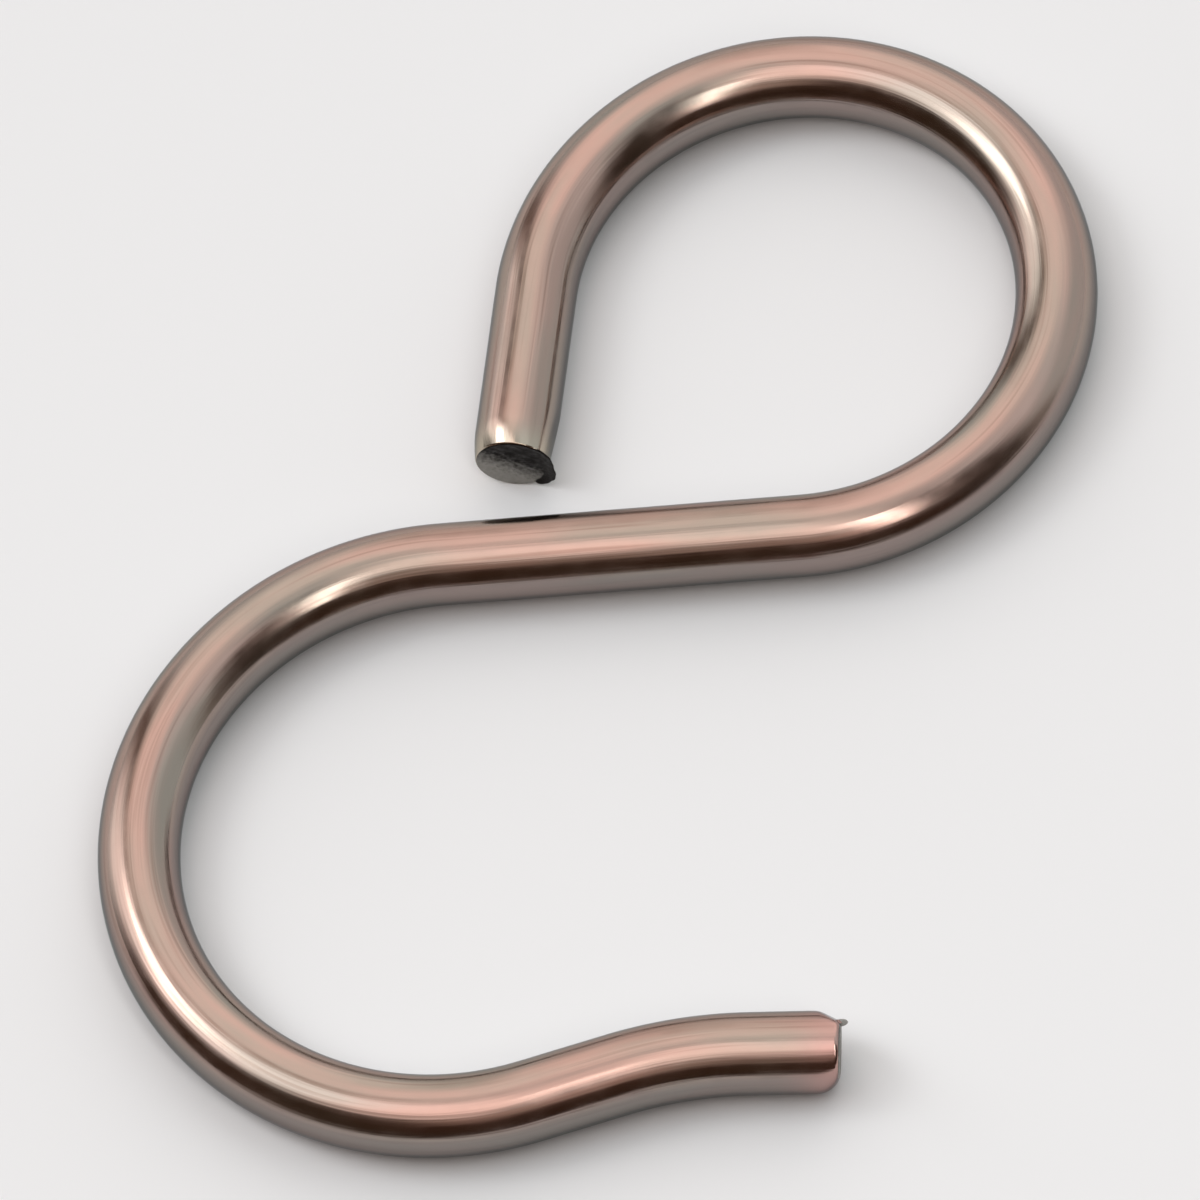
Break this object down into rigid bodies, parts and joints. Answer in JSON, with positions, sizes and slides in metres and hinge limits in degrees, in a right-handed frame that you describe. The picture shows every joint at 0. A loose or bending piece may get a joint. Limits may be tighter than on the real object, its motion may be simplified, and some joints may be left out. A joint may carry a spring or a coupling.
{
  "type": "sliding s-hook",
  "caption": "S-hook bent from round wire, with a nearly closed eye that slides along a rail and an open bowl below it for the load.",
  "frame": {"origin": "Centre of the rail eye, on the middle plane of the wire", "axes": "+Y up the line of hang, from the centre of the bowl to the centre of the eye; +Z square to the flat of the hook; +X towards the open side of the bowl"},
  "size_m": [0.0402, 0.0648, 0.004],
  "materials": {
    "copper_plated_wire": "Polished antique copper plating over drawn steel wire, with raw grey steel on the two sheared ends"
  },
  "bodies": {
    "root": {"hook_wire": "copper_plated_wire"}
  },
  "joints": []
}
